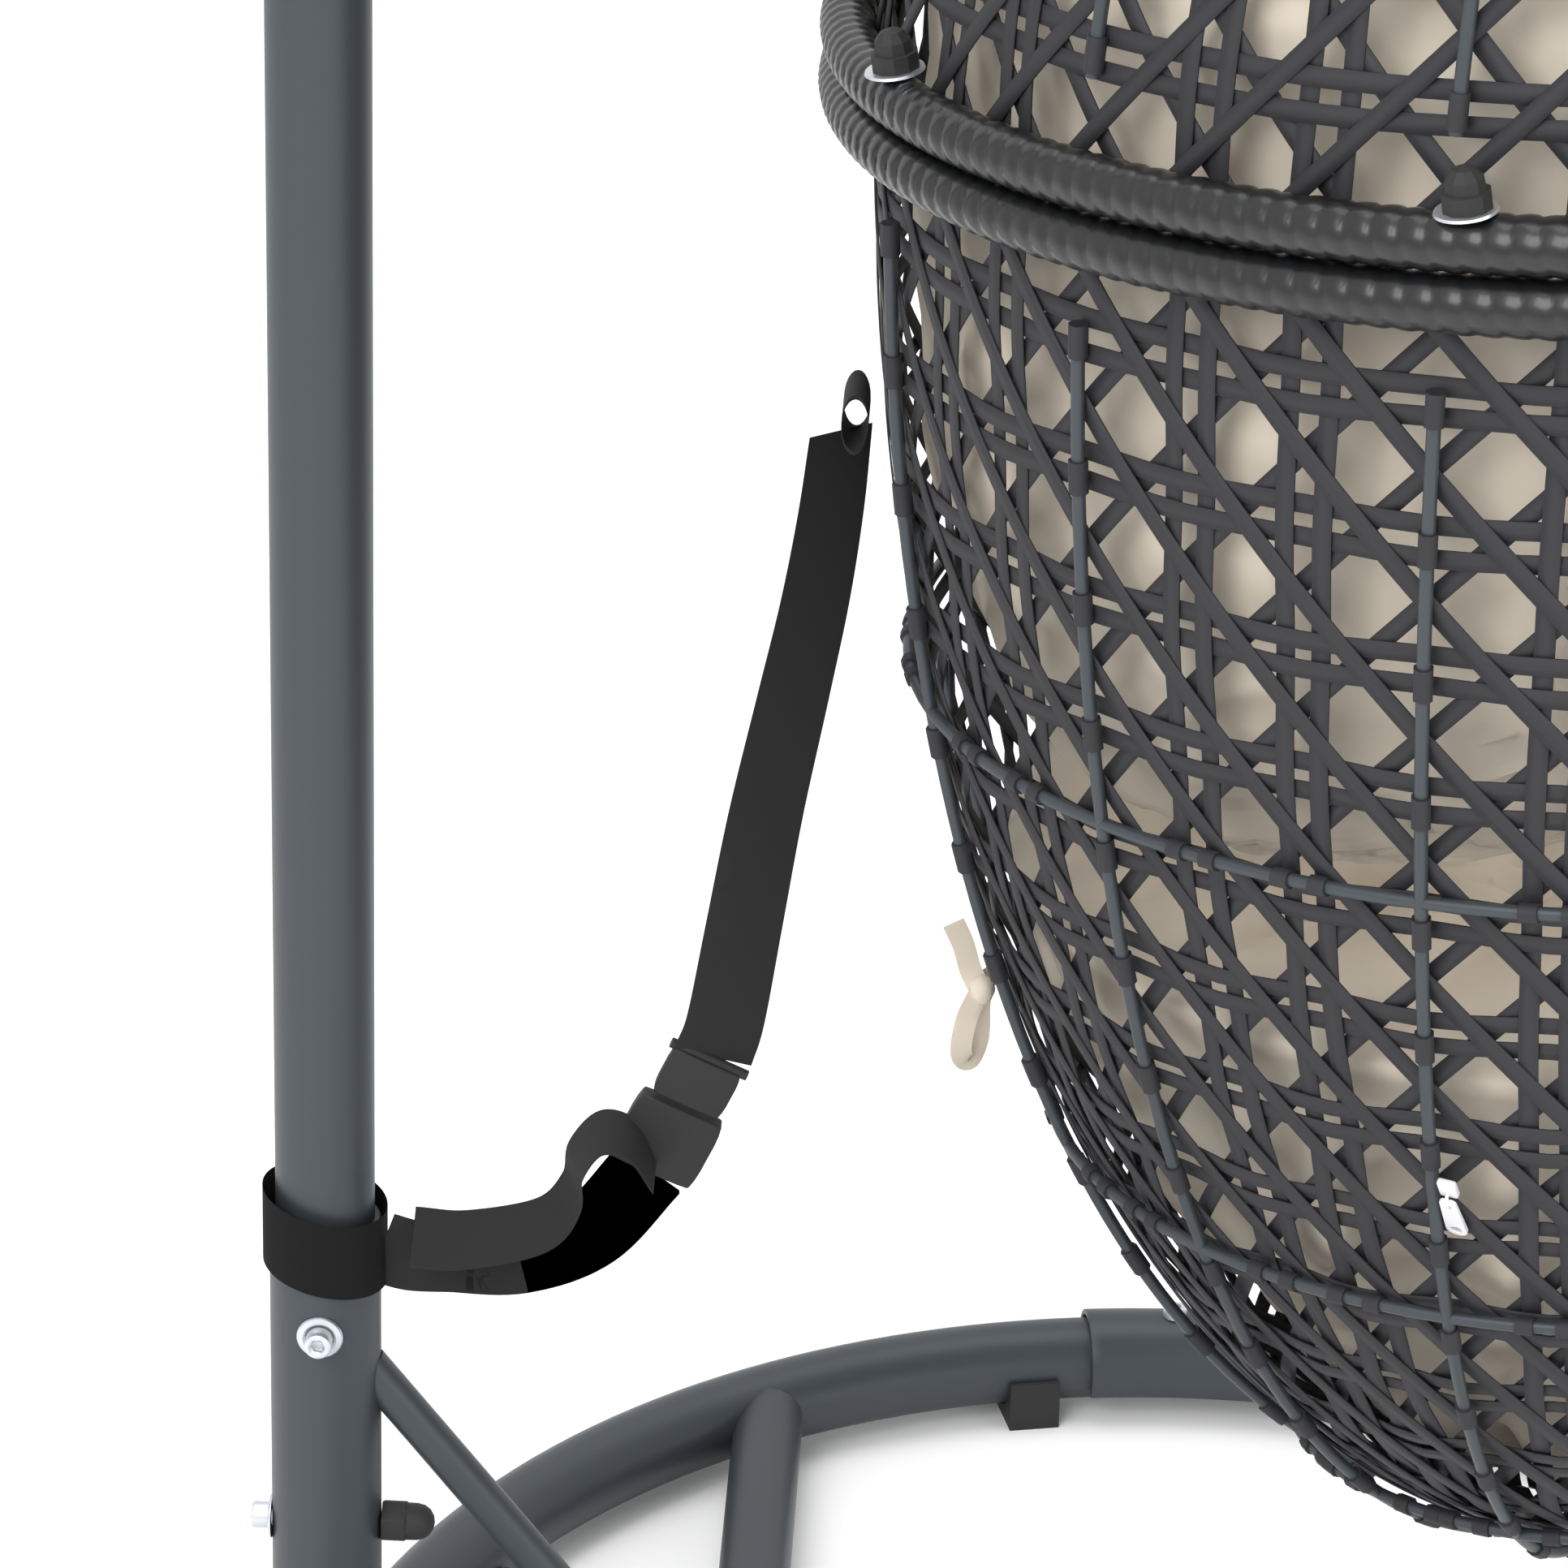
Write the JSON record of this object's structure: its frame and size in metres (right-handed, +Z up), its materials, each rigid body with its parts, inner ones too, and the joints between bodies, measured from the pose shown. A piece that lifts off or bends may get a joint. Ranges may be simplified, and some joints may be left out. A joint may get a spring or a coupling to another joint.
{
  "type": "hanging egg chair",
  "caption": "Hanging garden chair: egg-shaped woven basket with hood and cushions on an arched tubular stand with a round base and a safety strap.",
  "frame": {"origin": "floor level, in the middle of the whole chair's bounding box", "axes": "+Z up, -Y towards the front of the chair, +X to the left of someone who sits in it"},
  "size_m": [0.9442, 1.0961, 2.0297],
  "materials": {
    "powder_coat": "satin slate-grey powder coat",
    "zinc": "bright zinc plate",
    "black_plastic": "matt black moulding",
    "webbing": "ribbed black webbing",
    "wicker": "charcoal resin strip, slightly glossy",
    "cushion_cloth": "beige ribbed-weave cloth",
    "white_enamel": "white enamel"
  },
  "bodies": {
    "stand": {"base_ring_back": "powder_coat", "base_ring_front": "powder_coat", "ring_joint_left": "powder_coat", "ring_joint_right": "powder_coat", "foot_back_left": "black_plastic", "foot_back_right": "black_plastic", "foot_middle_left": "black_plastic", "foot_middle_right": "black_plastic", "foot_front_left": "black_plastic", "foot_front_right": "black_plastic", "cross_tube": "powder_coat", "spine_tube": "powder_coat", "post_stub": "powder_coat", "lower_post": "powder_coat", "upper_post": "powder_coat", "post_brace": "powder_coat", "arm_tube": "powder_coat", "arm_end_plug": "black_plastic", "arm_joint_collar": "black_plastic", "arm_eye": "powder_coat", "joint_bolt_washer": "zinc", "joint_bolt_head": "zinc", "joint_bolt_cap_nut": "black_plastic", "foot_bolt_washer": "zinc", "foot_bolt_head": "zinc", "foot_bolt_cap_nut": "black_plastic", "strap_cuff": "webbing", "strap_lower": "webbing", "strap_upper": "webbing", "strap_tail": "webbing", "buckle_socket": "black_plastic", "buckle_tongue": "black_plastic"},
    "shackle": {"hanger_shackle": "zinc"},
    "swivel": {"swivel_eye": "zinc", "swivel_barrel": "zinc"},
    "basket": {"suspension_spring": "zinc", "snap_hook": "zinc", "basket_eye": "powder_coat", "bowl_weave": "wicker", "hood_weave": "wicker", "bowl_rim": "wicker", "hood_rim": "wicker", "opening_rim": "wicker", "bowl_frame": "powder_coat", "hood_frame": "powder_coat", "rim_nut_side_left": "black_plastic", "rim_nut_side_right": "black_plastic", "rim_nut_back_left": "black_plastic", "rim_nut_back_right": "black_plastic", "seat_cushion": "cushion_cloth", "back_cushion": "cushion_cloth", "head_pillow": "cushion_cloth", "tape_bow": "cushion_cloth", "zip_slider": "white_enamel"},
    "pull": {"zip_pull": "white_enamel"}
  },
  "joints": [
    {"name": "basket_sway", "type": "hinge", "parent": "stand", "child": "shackle", "pos_m": [0, -0.1305, 1.915], "axis": [0, 1, 0], "range_deg": [-4, 4]},
    {"name": "basket_swing", "type": "hinge", "parent": "shackle", "child": "swivel", "pos_m": [0, -0.1305, 1.865], "axis": [1, 0, 0], "range_deg": [-5, 6], "deforming": ["strap_upper"]},
    {"name": "basket_twist", "type": "hinge", "parent": "swivel", "child": "basket", "pos_m": [0, -0.1305, 1.82], "axis": [0, 0, 1], "range_deg": [-8, 8]},
    {"name": "pull_flap", "type": "hinge", "parent": "basket", "child": "pull", "pos_m": [-0.29432, -0.00603, 0.55322], "axis": [0.3837, 0.9234, 0], "range_deg": [0, 60]}
  ]
}
